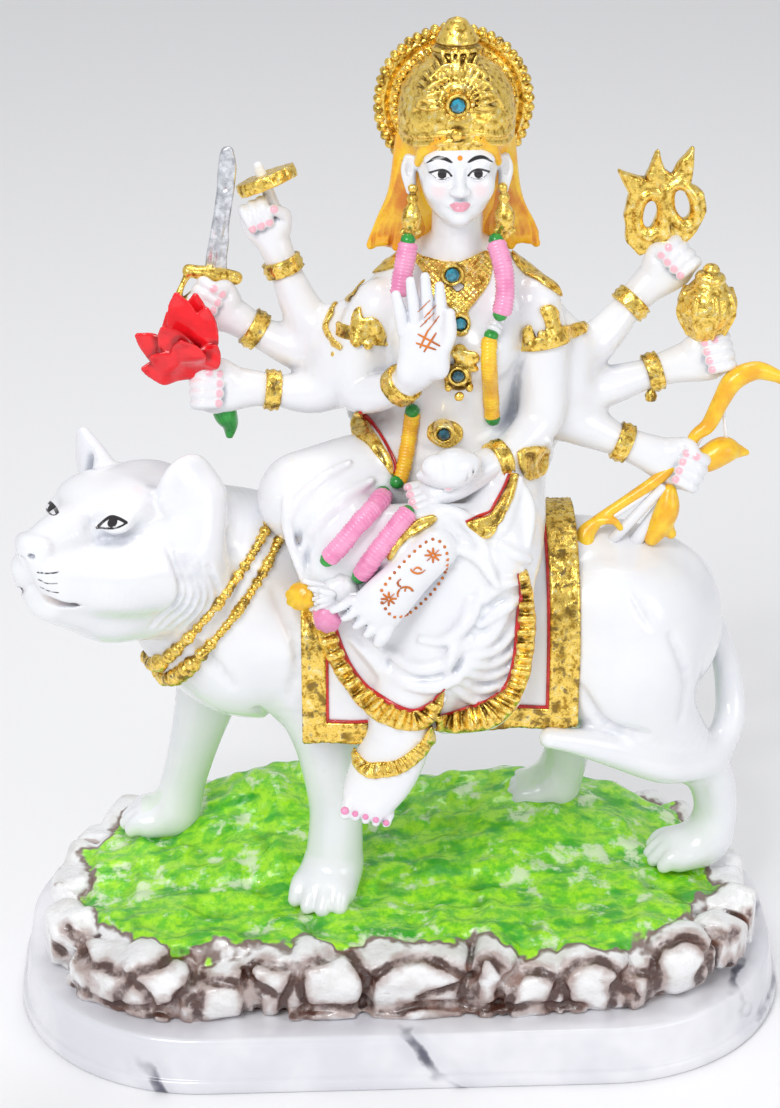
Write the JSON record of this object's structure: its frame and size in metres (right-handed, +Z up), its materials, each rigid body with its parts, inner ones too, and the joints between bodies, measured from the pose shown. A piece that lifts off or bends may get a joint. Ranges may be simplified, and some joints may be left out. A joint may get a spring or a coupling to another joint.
{
  "type": "durga figure",
  "caption": "Painted and gilded marble-dust figure of a many-armed goddess riding a white tiger over a grassy rock, on a rounded veined plinth.",
  "frame": {"origin": "centre of the plinth's underside", "axes": "+Z up, -Y the way the goddess faces, +X towards the tiger's tail"},
  "size_m": [0.236, 0.133, 0.305],
  "materials": {
    "plinth": "white cast marble dust with grey veins, lightly polished",
    "statue": "glossy white marble dust, hand painted, with gold leaf",
    "stone": "faceted, foil backed",
    "dark_stone": "faceted, foil backed"
  },
  "bodies": {
    "root": {"plinth": "plinth", "statue": "statue", "stone_crown": "stone", "stone_necklace": "stone", "stone_pendant": "stone", "stone_clasp": "dark_stone", "stone_waist": "dark_stone"}
  },
  "joints": []
}
